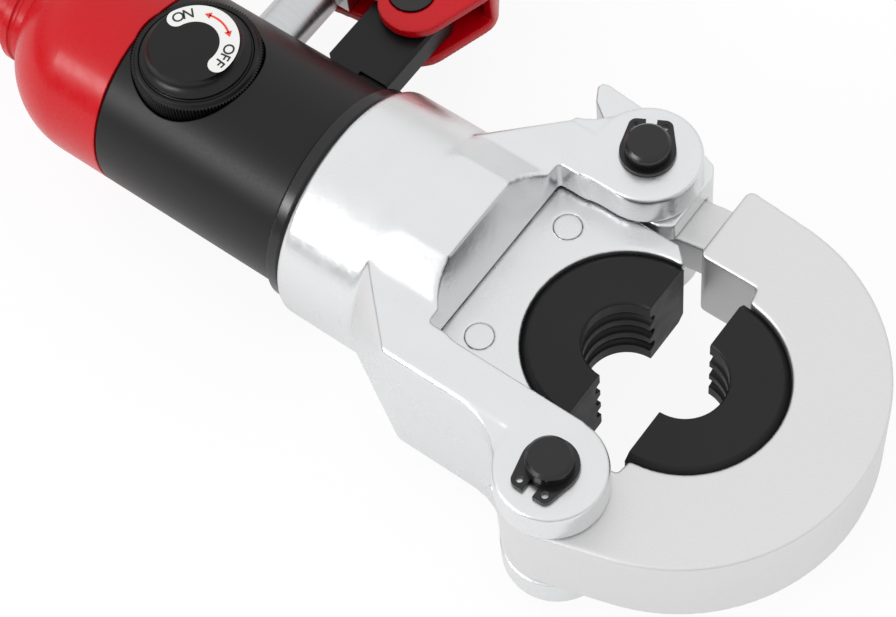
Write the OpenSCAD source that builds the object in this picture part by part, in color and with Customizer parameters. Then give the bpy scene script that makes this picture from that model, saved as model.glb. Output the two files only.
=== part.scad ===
// Hydraulic crimping tool with a swivelling fork head and a hinged C jaw.
// The origin lies on the crimping axis of the fixed die, halfway through its width.
// +X points to the tip of the head, +Y to the pump lever and +Z to the release knob.

/* [Dies] */
// Radius of the crimping bore
bore_r = 13; // [10:0.1:15]
// Outer radius of the dies
die_r = 31; // [29:0.1:31.5]
// Width of the dies along the crimping axis
die_w = 31.8; // [28:0.2:32]
// Gap between the closed dies
die_gap = 0.3; // [0.2:0.05:0.6]
// Number of grooves in the bore
groove_count = 3; // [2:1:4]
// Radius of the rounded bore grooves
groove_r = 2.5; // [1.5:0.1:3]
// Chamfer on the outer edge of the dies
die_chamfer = 2.4; // [1:0.1:3]
// Radius of the die pegs
peg_r = 2; // [1.5:0.1:2.5]
// Depth of the peg sockets in the holder and the jaw
peg_depth = 9; // [6:0.5:12]

/* [Head] */
// Stroke of the ram
stroke = 21; // [16:0.5:22]
// Distance between the plates of the fork
fork_gap = 34.4; // [33.8:0.1:36]
// Thickness of each fork plate
plate_t = 13; // [10:0.5:15]
// Distance from the head axis to the outer faces of the arms
arm_y = 48.5; // [46:0.5:50]
// Half width of the window in the plates
window_y = 33.6; // [32:0.2:35]
// Half width of the die holder
holder_y = 36; // [34.5:0.1:36.4]
// Length of the die holder behind the die axis
holder_back = 51.4; // [46:0.2:51.8]
// Radius of the head collar
collar_r = 39.75; // [38.5:0.25:42]
// Length of the head collar
collar_len = 32.3; // [28:0.1:34]
// Height of the raised neck above the head axis
crown_z = 38; // [34:0.5:39]
// Half width of the raised neck
crown_y = 15; // [10:0.2:18]
// Slope of the window's back wall, over its height
window_draft = 5.3; // [2:0.1:6]
// Corner radius at the back of the window
window_corner_r = 15; // [8:0.5:18]
// Radius of the ears round the pins
ear_r = 17; // [16:0.25:19]
// Fillet between the arms and the ears
ear_fillet = 20; // [8:0.5:22]
// Radius of the hinge pin and the latch pin
pin_r = 7; // [5.5:0.25:8]
// Distance from the die axis back to the hinge pin
hinge_back = 11.5; // [9:0.5:14]
// Distance from the head axis to the hinge pin
hinge_side = 50.5; // [50:0.25:52]
// Distance from the die axis back to the latch pin
latch_back = 47.5; // [45:0.5:49]
// Distance from the head axis to the latch pin
latch_side = 50.5; // [50:0.25:52]

/* [Jaw and latch] */
// Outer radius of the C jaw
jaw_r = 62.6; // [59:0.2:66]
// Distance from the die axis back to the centre of the jaw's outer arc
jaw_back = 3; // [0:0.5:5]
// Thickness of the C jaw and the latch
jaw_t = 33.6; // [30:0.2:33.6]
// Thickness of the jaw tongue
tongue_t = 16; // [12:0.5:20]
// Length of the latch tab behind the latch pin
tab_len = 32; // [26:0.5:40]

/* [Pump] */
// Radius of the pump body
body_r = 35; // [33:0.5:37]
// Length of the pump body behind the head
body_len = 77.8; // [74:0.2:84]
// Radius of the ram piston
piston_r = 22; // [20:0.5:24]
// Radius of the ram rod
rod_r = 15; // [12:0.5:16]
// Radius of the pump plunger
plunger_r = 8.5; // [6:0.1:9]
// Distance from the front of the body back to the plunger
plunger_back = 60.2; // [56:0.2:62]
// Distance from the front of the body back to the release knob
knob_back = 57.4; // [54:0.2:60]
// Radius of the knob rim
knob_r = 20.8; // [18:0.2:22]
// Radius of the knob face
knob_face_r = 14.4; // [10:0.2:15]
// Height of the knob face above the body axis
knob_z = 40.9; // [40:0.1:44]
// Number of ribs round the knob rim
knob_ribs = 120; // [60:2:140]

/* [Handles] */
// Length of the straight part of the reservoir housing
reservoir_len = 20; // [16:0.5:30]
// Radius of the rounded shoulder of the reservoir housing
shoulder_r = 32; // [30:0.5:34]
// Radius of the fixed handle tube
handle_r = 16.5; // [14:0.25:18]
// Length of the fixed handle tube outside the housing
handle_len = 300; // [200:5:400]
// Radius of the handle grips
grip_r = 19.5; // [18.5:0.25:22]
// Length of the handle grips
grip_len = 125; // [90:5:150]
// Wall of the handle tubes
tube_wall = 2.5; // [1.5:0.25:4]

/* [Lever] */
// Distance from the front of the body back to the lever pivot
pivot_back = 28.3; // [26:0.1:32]
// Distance from the body axis to the lever pivot
pivot_side = 69; // [64:0.5:72]
// Distance from the body axis to the plunger link pin
link_side = 76.5; // [72:0.5:80]
// Radius of the lever pivot pin
pivot_r = 7.5; // [5:0.25:8]
// Radius of the plunger link pin
link_r = 4; // [3:0.25:5]
// Thickness of the pivot bracket
bracket_t = 10.6; // [9:0.2:11]
// Width of the pivot bracket
bracket_w = 23.4; // [21:0.2:26]
// Outer width across the lever yoke
yoke_w = 20.6; // [19.8:0.2:24]
// Plate thickness of the lever yoke
yoke_t = 4; // [3:0.1:4.6]
// Angle of the open lever to the fixed handle
lever_angle = 28; // [26:1:36]
// Length of the lever tube
lever_len = 400; // [250:5:480]
// Radius of the lever tube
lever_r = 13; // [10:0.25:14]

/* [Hidden] */
$fn = 96;

// Clearances
fit = 0.02;
slide_gap = 0.05;
side_gap = 0.4;
eps = 0.01;
far = 200;

// Places along the head axis
moving_x = -stroke;
back_gap = 0.6;
window_x = moving_x - holder_back - back_gap;
window_foot_x = window_x + window_draft;
collar_rear_x = -124.3;
collar_front_x = collar_rear_x + collar_len;
body_front_x = collar_rear_x;
body_rear_x = body_front_x - body_len;
neck_rear_x = collar_front_x - 3;
waist_x = window_x - 0.5;
nose_x = collar_front_x - 5;
nose_r = collar_r - 8.75;
ring_x = body_front_x - 6;
ring_gap = 0.3;
ring_r = body_r + 2.2;

// Head
gap_z = fork_gap / 2;
fork_z = gap_z + plate_t;
pocket_y = holder_y + side_gap + 0.1;
hinge = [-hinge_back, -hinge_side];
latch_c = [-latch_back, latch_side];
edge_r = 1.5;
crown_foot_y = crown_y + 13;
crown_rear_x = collar_front_x + 3;
collar_drop = 4;
knuckle_r = ear_r - side_gap;
web_gap = 1;
pin_z = fork_z + 6.5;
groove_depth = 0.6;
circlip_t = 1.2;
circlip_z = fork_z + 0.2;
circlip_in = pin_r - groove_depth + fit;
circlip_out = pin_r + 1.6;
lug_reach = pin_r + 2.6;
lug_spread = 27;
lug_r = 2.5;
lug_hole_r = 1.1;
lug_gap = 1.7;
hinge_clip_turn = -90;
latch_clip_turn = 118;

// Jaw and latch
jaw_z = jaw_t / 2;
flat_y = holder_y + 0.5;
jaw_c = [-jaw_back, 0];
jaw_corner_r = 2.4;
jaw_swing = 100;
relief_r = hinge_side - holder_y - side_gap;
top_tangent = 85.5;
end_x = -hinge_back - 8;
tongue_low = 43;
tongue_high = 58;
tongue_start = 4.2;
tongue_in = norm([8.5, hinge_side + tongue_low]);
tongue_out = norm([20, hinge_side + tongue_high]);
mouth_low = -92;
mouth_high = 48;
tongue_z = tongue_t / 2;
slot_gap = 0.6;
hub_r = pin_r + 2.6;
latch_r = latch_side - flat_y - 0.2;
latch_front = 16.5;
seat_gap = 0.05;
seat_r = die_r + seat_gap;
seat_chamfer = 0.8;
holder_z = die_w / 2 + 0.1;

// Ram
bore_rear_x = body_rear_x + 39;
piston_len = 12;
piston_x = bore_rear_x + 5;
rod_x = piston_x + piston_len;
gland_len = 6;
holder_x = moving_x - holder_back;
spigot_len = holder_back - seat_r - peg_depth - 2;
spigot_r = 8;
spring_wire = 1.6;
spring_turns = 5.5;
dowel_r = 4.4;
dowel_y = 22.7;
dowel_x = moving_x - 36.7;

// Pump
plunger_x = body_front_x - plunger_back;
knob_x = body_front_x - knob_back;
pad_y = sqrt(pow(body_r, 2) - pow(bracket_t / 2 + 0.3, 2));
bracket_shift = 1.2;
bracket_edge = 1;
spigot_b_r = 4.5;
eye_z = bracket_t / 2;
eye_w = 11;
eye_foot = 16.9;
flat_foot = 19.5;
flat_w = sqrt(pow(plunger_r, 2) - pow(eye_z, 2));
eye_slot = 1.1;
plunger_in = 11;
plunger_bottom = -9;
gallery_y = -13.5;
gallery_r = 1.6;
ball_r = 2.4;
ball_gap = 0.2;
stem_r = 6;
pocket_z = 25;
knob_foot_z = pocket_z + 0.4;
rim_z = knob_z - 5.1;
seal_y = 20;
seal_t = 3;

// Handles
neck_r = handle_r + 2.2;
shoulder_x = body_rear_x - reservoir_len;
shoulder_drop = body_r - neck_r - 0.3;
shoulder_len = sqrt(pow(shoulder_r, 2) - pow(shoulder_r - shoulder_drop, 2));
neck_x = shoulder_x - shoulder_len;
neck_len = 8;
handle_x = neck_x - neck_len;
handle_seat = 14;
grip_skin_gap = 0.05;

// Lever
pivot = [body_front_x - pivot_back, pivot_side];
bracket_x = pivot[0] + bracket_shift;
link = [plunger_x, link_side];
yoke_z = yoke_w / 2;
yoke_eye_r = 12.6;
yoke_eye = pivot + [2.7, -1.5];
link_eye_r = 9.5;
link_foot = [plunger_x, pivot_side];
link_foot_r = 10.3;
bridge_r = 8;
heel = pivot + [11.6, 14.5];
heel_r = 9.2;
lever_dir = 180 - lever_angle;
root_c = pivot + [-8, 33];
socket_r = lever_r + 4;
socket_len = 42;
socket_seat = 12;
spring_fn = 8;

// Solid cylinders along the three axes
module xcyl(r, x0, x1) {
    translate([x0, 0, 0]) rotate([0, 90, 0]) cylinder(r = r, h = x1 - x0);
}
module ycyl(x, z, r, y0, y1) {
    translate([x, y0, z]) rotate([-90, 0, 0]) cylinder(r = r, h = y1 - y0);
}
module zcyl(p, r, z0, z1) {
    translate([p[0], p[1], z0]) cylinder(r = r, h = z1 - z0);
}
// Turns a profile, drawn with the radius across and the place along X upwards
module turn_x() {
    rotate([0, 90, 0]) rotate_extrude() children();
}
module xbox(x0, x1, y0, y1, z) {
    translate([x0, y0, -z]) cube([x1 - x0, y1 - y0, 2 * z]);
}
module plate(z) {
    translate([0, 0, -z]) linear_extrude(2 * z) children();
}
function polar(r, a) = [r * cos(a), r * sin(a)];

// One unbroken wire wound round Z from z0 to z1
module coil(radius, wire, turns, z0, z1) {
    steps = ceil(turns * 24);
    rise = (z1 - z0 - 2 * wire) / steps;
    pitch_angle = atan(rise * steps / (turns * 360) / (radius * PI / 180));
    points = [for (i = [0:steps], k = [0:spring_fn - 1])
        let (a = i * turns * 360 / steps, b = k * 360 / spring_fn)
        let (out = radius + wire * cos(b), up = wire * sin(b))
        [out * cos(a) + up * sin(pitch_angle) * sin(a),
         out * sin(a) - up * sin(pitch_angle) * cos(a),
         z0 + wire + i * rise + up * cos(pitch_angle)]];
    sides = [for (i = [0:steps - 1], k = [0:spring_fn - 1])
        let (n = (k + 1) % spring_fn, p = i * spring_fn, q = p + spring_fn)
        each [[p + k, q + k, q + n], [p + k, q + n, p + n]]];
    first = [for (k = [1:spring_fn - 2]) [0, k, k + 1]];
    end = steps * spring_fn;
    last = [for (k = [1:spring_fn - 2]) [end, end + k + 1, end + k]];
    polyhedron(points, concat(sides, first, last));
}

// Black pump body with the ram bore, the plunger bore and the drilled valve galleries
module pump_body() color("#1c1d1f") difference() {
    turn_x() polygon([[0, body_rear_x], [body_r - 1, body_rear_x], [body_r, body_rear_x + 1],
        [body_r, ring_x], [nose_r - slide_gap, ring_x], [nose_r - slide_gap, nose_x - 1],
        [nose_r - 1, nose_x], [0, nose_x]]);
    xcyl(piston_r, bore_rear_x, nose_x + eps);
    turn_x() translate([nose_r, collar_rear_x + 12]) circle(r = 1.3);
    ycyl(plunger_x, 0, plunger_r + slide_gap, plunger_bottom, far);
    ycyl(plunger_x, 0, plunger_r + 2, seal_y, seal_y + seal_t);
    ycyl(plunger_x, 0, gallery_r, gallery_y, 0);
    translate([0, gallery_y, 0]) xcyl(gallery_r, body_rear_x - eps, bore_rear_x + eps);
    translate([0, gallery_y, 0]) xcyl(ball_r + ball_gap, plunger_x - 12, plunger_x - 5);
    translate([0, gallery_y, 0]) xcyl(ball_r + ball_gap, plunger_x + 5, plunger_x + 12);
    translate([0, 0, 13]) xcyl(gallery_r, knob_x, bore_rear_x + eps);
    translate([0, 0, 20]) xcyl(gallery_r, body_rear_x - eps, knob_x);
    zcyl([knob_x, 0], ball_r + ball_gap, 12, 20);
    zcyl([knob_x, 0], stem_r + slide_gap, 17, far);
    zcyl([knob_x, 0], knob_r + side_gap, pocket_z, far);
    xbox(bracket_x - bracket_w / 2 - 0.5, bracket_x + bracket_w / 2 + 0.5, pad_y, far, far);
    ycyl(bracket_x, 0, spigot_b_r + fit, pad_y - 7.5, far);
}

// Gloss black ring between the body and the head collar
module body_end_ring() color("#101010") turn_x()
    polygon([[nose_r + fit, ring_x], [ring_r - 0.8, ring_x], [ring_r, ring_x + 0.8],
        [ring_r, body_front_x - ring_gap - 1.5], [ring_r - 1.5, body_front_x - ring_gap],
        [nose_r + fit, body_front_x - ring_gap]]);

// Gland nut that closes the ram bore and guides the rod
module ram_gland() color("#9a9da0") turn_x()
    polygon([[rod_r + slide_gap, nose_x - gland_len], [piston_r - fit, nose_x - gland_len],
        [piston_r - fit, nose_x - 0.5], [piston_r - 0.5, nose_x], [rod_r + slide_gap, nose_x]]);

// Round wire ring that holds the head on the body and lets it swivel
module swivel_ring() color("#8d9092") turn_x()
    translate([nose_r, collar_rear_x + 12]) circle(r = 1.2, $fn = 24);

// Red housing round the oil reservoir, with the rounded shoulder and the ringed neck
module housing_shell() turn_x() difference() {
    union() {
        translate([0, shoulder_x - 1]) square([body_r - eps, 1 + reservoir_len - fit]);
        translate([0, shoulder_x]) square([body_r, reservoir_len - fit]);
        intersection() {
            translate([body_r - shoulder_r, shoulder_x]) circle(r = shoulder_r);
            translate([0, neck_x]) square([body_r, shoulder_len + eps]);
        }
        translate([0, handle_x]) square([neck_r, neck_len + 1]);
    }
    translate([neck_r + 0.3, handle_x + neck_len / 2]) circle(r = 1.2, $fn = 32);
    translate([-1, shoulder_x - 8]) square([body_r - 4, reservoir_len + 9]);
    translate([-1, handle_x - 1]) square([handle_r + fit + 1, handle_seat + 1]);
}
module reservoir_housing() color("#d5161e") difference() {
    housing_shell();
    zcyl([knob_x, 0], knob_r + side_gap, pocket_z, far);
}

// Rubber bag that holds the oil
module reservoir_bladder() color("#2b2b2b") turn_x()
    polygon([[0, shoulder_x - 6], [body_r - 11, shoulder_x - 6], [body_r - 6, shoulder_x - 1],
        [body_r - 6, body_rear_x - 6], [body_r - 12, body_rear_x - fit], [0, body_rear_x - fit]]);

// Steel tube of the fixed handle
module handle_tube() color("#d5161e") difference() {
    xcyl(handle_r, handle_x - handle_len, handle_x + handle_seat - fit);
    xcyl(handle_r - tube_wall, handle_x - handle_len - eps, handle_x + handle_seat);
}

// Rubber sleeve with ridges, a flange and a closed end, drawn from the open end at 0 back to -length
module grip_sleeve(inner_r) {
    rotate_extrude() difference() {
        polygon([[0, -grip_len], [grip_r - 3, -grip_len], [grip_r, -grip_len + 3],
            [grip_r, -7], [grip_r + 2.5, -5], [grip_r + 2.5, -1], [grip_r + 1.5, 0], [0, 0]]);
        translate([-eps, -grip_len + 4]) square([inner_r + grip_skin_gap + eps, grip_len]);
        for (i = [0:10])
            translate([grip_r + 0.9, -18 - i * (grip_len - 32) / 10]) circle(r = 1.8, $fn = 24);
    }
}
module handle_grip() color("#18181a")
    translate([handle_x - handle_len + grip_len - 4.3, 0, 0]) rotate([0, 90, 0])
        grip_sleeve(handle_r);

// Black plate bracket that carries the lever pivot, with its front edges chamfered
module pivot_bracket() color("#242527") difference() {
    union() {
        plate(bracket_t / 2) union() {
            translate([bracket_x - bracket_w / 2, pad_y + fit])
                square([bracket_w, pivot_side - pad_y]);
            translate([bracket_x, pivot_side]) circle(r = bracket_w / 2);
        }
        ycyl(bracket_x, 0, spigot_b_r, pad_y - 7, pad_y + 1);
    }
    zcyl(pivot, pivot_r + slide_gap, -far, far);
    // Notch at the rear foot and undercut at the front foot
    plate(far) translate([bracket_x - bracket_w / 2, pad_y + 1.6]) circle(r = 1.5, $fn = 32);
    for (side = [-1, 1]) translate([bracket_x + 1, pad_y - 1, side * bracket_t / 2 - 1.5])
        cube([bracket_w, 4.2, 3]);
    for (side = [-1, 1])
        translate([bracket_x + bracket_w / 2, 0, side * bracket_t / 2]) rotate([0, 45, 0])
            cube([bracket_edge * 1.4, 2 * pivot_side, bracket_edge * 1.4], center = true);
}

// Seal ring round the plunger
module plunger_seal() color("#202020") difference() {
    ycyl(plunger_x, 0, plunger_r + 2 - fit, seal_y + 0.2, seal_y + seal_t - 0.2);
    ycyl(plunger_x, 0, plunger_r + slide_gap, seal_y - 1, seal_y + seal_t + 1);
}

module suction_ball() color("#b8bbbe")
    translate([plunger_x - 12 + ball_r, gallery_y, 0]) sphere(r = ball_r, $fn = 32);
module delivery_ball() color("#b8bbbe")
    translate([plunger_x + 5 + ball_r, gallery_y, 0]) sphere(r = ball_r, $fn = 32);
module release_ball() color("#b8bbbe")
    translate([knob_x, 0, 12 + ball_r]) sphere(r = ball_r, $fn = 32);

// Screwed stem that the knob turns to press the ball on its seat
module release_stem() color("#9a9da0") union() {
    zcyl([knob_x, 0], 2.2, 12 + 2 * ball_r + fit, 18.5);
    zcyl([knob_x, 0], stem_r, 18, knob_foot_z + 6 - fit);
}

// Knurled release knob with a flat rim, a concave flank and a flat face
module release_knob() color("#161618") translate([knob_x, 0, 0]) difference() {
    union() {
        translate([0, 0, knob_foot_z]) linear_extrude(rim_z - 1.2 - knob_foot_z)
            polygon([for (i = [0:2 * knob_ribs - 1])
                polar(knob_r - (i % 2) * 0.7, i * 180 / knob_ribs)]);
        rotate_extrude() polygon([[0, knob_foot_z], [knob_r - 1, knob_foot_z],
            [knob_r - 0.9, rim_z - 1.3], [knob_r - 1.6, rim_z], [0, rim_z]]);
        rotate_extrude() difference() {
            translate([0, rim_z - 1]) square([knob_face_r + 3, knob_z - rim_z + 1]);
            translate([knob_face_r + 4.6, knob_z + 0.4]) circle(r = 5);
        }
    }
    rotate_extrude() translate([knob_face_r + 3.4, rim_z]) circle(r = 0.5, $fn = 16);
    zcyl([0, 0], stem_r + fit, 0, knob_foot_z + 6);
}

// Ear with rounded edges on its outer face, from z0 up to z1
module ear(c, z0, z1) {
    translate([c[0], c[1], 0]) rotate_extrude() union() {
        translate([0, z0]) square([ear_r, z1 - z0 - edge_r]);
        translate([0, z1 - edge_r - eps]) square([ear_r - edge_r, edge_r + eps]);
        translate([ear_r - edge_r, z1 - edge_r]) circle(r = edge_r, $fn = 32);
    }
}
// Hollow fillet between an arm's outer face and an ear, on the side away from the tip
module ear_blend(c, side) {
    f = [c[0] - sqrt(pow(ear_r + ear_fillet, 2) - pow(arm_y + ear_fillet - abs(c[1]), 2)),
        side * (arm_y + ear_fillet)];
    start_x = max(f[0], waist_x);
    difference() {
        linear_extrude(fork_z - edge_r / 2)
            polygon([[start_x, f[1]], c, [start_x, side * (arm_y - 2)]]);
        translate([f[0], f[1], -1]) cylinder(r = ear_fillet, h = far);
    }
}
// Arm with its outer edge chamfered, seen along the head axis
module arm(x1, side) {
    translate([window_x, 0, 0]) rotate([90, 0, 90]) linear_extrude(x1 - window_x)
        polygon([[side * (window_y - 1), 0], [side * arm_y, 0], [side * arm_y, fork_z - edge_r],
            [side * (arm_y - edge_r), fork_z], [side * (window_y - 1), fork_z]]);
}
module fork_half() {
    arm(hinge[0], -1);
    arm(latch_c[0], 1);
    ear(hinge, 0, fork_z);
    ear(latch_c, 0, fork_z);
    ear_blend(hinge, -1);
    ear_blend(latch_c, 1);
    // Raised neck with its flat top and sloping flanks
    hull() {
        xcyl(collar_r, neck_rear_x, neck_rear_x + 1);
        translate([crown_rear_x, 0, 0]) rotate([90, 0, 90]) linear_extrude(window_foot_x - crown_rear_x)
            polygon([[-crown_foot_y, 0], [-crown_foot_y, fork_z], [-crown_y, crown_z],
                [crown_y, crown_z], [crown_foot_y, fork_z], [crown_foot_y, 0]]);
    }
}
// Neck that spreads from the round collar to the square block behind the window
module neck() hull() {
    intersection() {
        xcyl(collar_r, neck_rear_x, neck_rear_x + 1);
        xbox(neck_rear_x, waist_x, -far, far, fork_z);
    }
    xbox(waist_x, window_foot_x, -arm_y, arm_y, fork_z - edge_r);
    xbox(waist_x, window_foot_x, edge_r - arm_y, arm_y - edge_r, fork_z);
}
// Upper half of the window, whose back wall slopes outwards
module window_half() hull() {
    translate([0, 0, gap_z - eps]) linear_extrude(eps) window_outline(window_foot_x);
    translate([0, 0, crown_z + eps]) linear_extrude(eps) window_outline(window_x);
}
module window_outline(x) offset(r = window_corner_r)
    translate([x + window_corner_r, window_corner_r - window_y])
        square([far, 2 * (window_y - window_corner_r)]);

// Cast fork head: collar, neck, two plates with ears, window, holder pocket and bores
module head_fork() color("#c9cbcc") difference() {
    union() {
        turn_x() polygon([[0, collar_rear_x], [collar_r - 1.2, collar_rear_x],
            [collar_r, collar_rear_x + 1.2], [collar_r, neck_rear_x],
            [collar_r - collar_drop, crown_rear_x], [0, crown_rear_x]]);
        neck();
        fork_half();
        mirror([0, 0, 1]) fork_half();
    }
    window_half();
    mirror([0, 0, 1]) window_half();
    // Pocket in which the die holder slides, and the slots for the jaw and the latch
    xbox(window_x, far, -pocket_y, pocket_y, gap_z);
    zcyl(hinge, ear_r + web_gap, -gap_z, gap_z);
    xbox(hinge[0], far, -far, 0, gap_z);
    xbox(hinge[0] - ear_r - ear_fillet, far, -far, -arm_y, gap_z);
    xbox(latch_c[0] - ear_r - 3.5, far, 0, far, gap_z);
    xbox(latch_c[0] - ear_r - ear_fillet, far, arm_y, far, gap_z);
    // Bores
    zcyl(hinge, pin_r + fit, -far, far);
    zcyl(latch_c, pin_r + fit, -far, far);
    xcyl(nose_r, collar_rear_x - eps, nose_x + 0.6);
    xcyl(rod_r + 0.5, nose_x, window_x + eps);
    turn_x() translate([nose_r, collar_rear_x + 12]) circle(r = 1.3);
}

// Pins with chamfered ends and a groove at each end for the circlips
module grooved_pin(c) color("#1b1b1d") translate([c[0], c[1], 0]) difference() {
    rotate_extrude() polygon([[0, -pin_z], [pin_r - 1, -pin_z], [pin_r, -pin_z + 1],
        [pin_r, pin_z - 1], [pin_r - 1, pin_z], [0, pin_z]]);
    for (z = [circlip_z, -circlip_z - circlip_t]) translate([0, 0, z]) difference() {
        cylinder(r = pin_r + 1, h = circlip_t + 0.1);
        translate([0, 0, -1]) cylinder(r = pin_r - groove_depth, h = circlip_t + 2);
    }
}
module hinge_pin() grooved_pin(hinge);
module latch_pin() grooved_pin(latch_c);

// Open ring with two holed lugs, whose gap looks along the angle a
module circlip(c, a, z) color("#1d1d1f") translate([c[0], c[1], z]) rotate([0, 0, a])
    linear_extrude(circlip_t - 0.05) difference() {
        hull() {
            circle(r = circlip_out);
            for (side = [-1, 1]) rotate(side * lug_spread) translate([lug_reach, 0])
                circle(r = lug_r, $fn = 24);
        }
        circle(r = circlip_in);
        translate([0, -lug_gap]) square([3 * pin_r, 2 * lug_gap]);
        for (side = [-1, 1])
            rotate(side * lug_spread) translate([lug_reach, 0]) circle(r = lug_hole_r, $fn = 24);
    }
module hinge_circlip_top() circlip(hinge, hinge_clip_turn, circlip_z + 0.05);
module hinge_circlip_bottom() circlip(hinge, hinge_clip_turn, -circlip_z - circlip_t + 0.05);
module latch_circlip_top() circlip(latch_c, latch_clip_turn, circlip_z + 0.05);
module latch_circlip_bottom() circlip(latch_c, latch_clip_turn, -circlip_z - circlip_t + 0.05);

// Torsion spring round the latch pin
module latch_spring() color("#8d9092")
    translate([latch_c[0], latch_c[1], 0]) coil(pin_r + 1.2, 0.5, 4, -3.2, 3.2);

// Latch between the ears: hub, hook over the tongue and thumb tab
module latch() color("#c4c6c8") difference() {
    union() {
        zcyl(latch_c, latch_r, -jaw_z, jaw_z);
        plate(jaw_z) translate(latch_c) polygon([[0, -latch_r], [latch_front - 4, -latch_r + 1],
            [latch_front, -latch_r + 3.5], [latch_front, 11], [latch_front - 2, 14.5],
            [latch_front - 6, ear_r - 1], [-8, ear_r - 1], [-latch_r, 0]]);
        plate(jaw_z - 2.5) translate(latch_c) polygon([[-6, ear_r - 1.2], [-14, 21],
            [-tab_len + 2, 22.5], [-tab_len, 22], [-tab_len - 0.7, 20], [-tab_len + 2, 15.2],
            [-tab_len + 6.7, 11.8], [-latch_r + 1, 3]]);
    }
    zcyl(latch_c, pin_r + slide_gap, -far, far);
    zcyl(latch_c, pin_r + 2.2, -3.6, 3.6);
    // Mouth for the jaw tongue
    difference() {
        intersection() {
            zcyl(hinge, tongue_out + slot_gap, -tongue_z - side_gap, tongue_z + side_gap);
            plate(far) translate(latch_c)
                polygon([[0, 0], polar(far, mouth_low), polar(2 * far, -45), polar(far, mouth_high)]);
        }
        zcyl(latch_c, hub_r, -far, far);
    }
}

// Piston with its rod and the spigot that enters the die holder
module ram_piston() color("#b4b7ba")
    turn_x() polygon([[0, piston_x], [piston_r - 1, piston_x], [piston_r - slide_gap, piston_x + 1],
        [piston_r - slide_gap, piston_x + 4], [piston_r - 2, piston_x + 4],
        [piston_r - 2, piston_x + 7.5], [piston_r - slide_gap, piston_x + 7.5],
        [piston_r - slide_gap, rod_x], [rod_r, rod_x], [rod_r, holder_x - fit],
        [spigot_r, holder_x - fit], [spigot_r, holder_x + spigot_len - 0.5],
        [0, holder_x + spigot_len - 0.5]]);

module piston_seal() color("#202020") turn_x()
    polygon([[piston_r - 2 + fit, piston_x + 4.1], [piston_r - 0.1, piston_x + 4.1],
        [piston_r - 0.1, piston_x + 7.4], [piston_r - 2 + fit, piston_x + 7.4]]);
// Return spring between the piston and the gland
module ram_spring() color("#8d9092") rotate([0, 90, 0])
    coil(rod_r + 3, spring_wire, spring_turns, rod_x + fit, nose_x - gland_len - fit);

// Round die seat about Z, with chamfered rims at the heights z and -z
module die_seat(x, z) {
    zcyl([x, 0], seat_r, -far, far);
    for (side = [-1, 1]) translate([x, 0, side * z]) mirror([0, 0, side > 0 ? 1 : 0])
        translate([0, 0, -eps]) cylinder(r1 = seat_r + seat_chamfer, r2 = seat_r, h = seat_chamfer);
}
// Die holder with its half round seat
module die_holder() color("#c9cbcc") difference() {
    plate(holder_z) polygon([[holder_x, -holder_y + 2], [holder_x + 2, -holder_y],
        [moving_x - 5.5, -holder_y], [moving_x - 0.6, -seat_r - 0.4], [moving_x - 0.6, seat_r + 0.4],
        [moving_x - 5.5, holder_y], [holder_x + 2, holder_y], [holder_x, holder_y - 2]]);
    die_seat(moving_x, holder_z);
    xcyl(spigot_r + fit, holder_x - 1, holder_x + spigot_len);
    translate([moving_x - seat_r + 1, 0, 0]) rotate([0, -90, 0])
        cylinder(r = peg_r + fit, h = peg_depth + 1);
    for (side = [-1, 1]) zcyl([dowel_x, side * dowel_y], dowel_r, -far, far);
}
module holder_dowel_left() color("#bfc1c3")
    zcyl([dowel_x, dowel_y], dowel_r - fit, -holder_z, holder_z);
module holder_dowel_right() color("#bfc1c3")
    zcyl([dowel_x, -dowel_y], dowel_r - fit, -holder_z, holder_z);

// Half die with rounded bore grooves, drawn for x above 0
module half_die() difference() {
    rotate_extrude() difference() {
        polygon([[bore_r + 0.6, -die_w / 2], [die_r - die_chamfer, -die_w / 2],
            [die_r, -die_w / 2 + die_chamfer], [die_r, die_w / 2 - die_chamfer],
            [die_r - die_chamfer, die_w / 2], [bore_r + 0.6, die_w / 2],
            [bore_r, die_w / 2 - 0.6], [bore_r, -die_w / 2 + 0.6]]);
        for (i = [1:groove_count])
            translate([bore_r, die_w * (i / (groove_count + 1) - 0.5)]) circle(r = groove_r);
    }
    translate([-far + die_gap / 2, -far / 2, -far / 2]) cube([far, far, far]);
    translate([die_r - 3, 0, 0]) rotate([0, 90, 0]) cylinder(r = peg_r + 0.1, h = 10);
}
module moving_die() color("#1b1b1d") translate([moving_x, 0, 0]) mirror([1, 0, 0]) half_die();
module fixed_die() color("#1b1b1d") half_die();
module moving_die_peg() color("#b4b7ba")
    translate([moving_x - die_r + 2.5, 0, 0]) rotate([0, -90, 0])
        cylinder(r = peg_r, h = peg_depth + 2.5);
module fixed_die_peg() color("#b4b7ba")
    translate([die_r - 2.5, 0, 0]) rotate([0, 90, 0]) cylinder(r = peg_r, h = peg_depth + 2.5);

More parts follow.
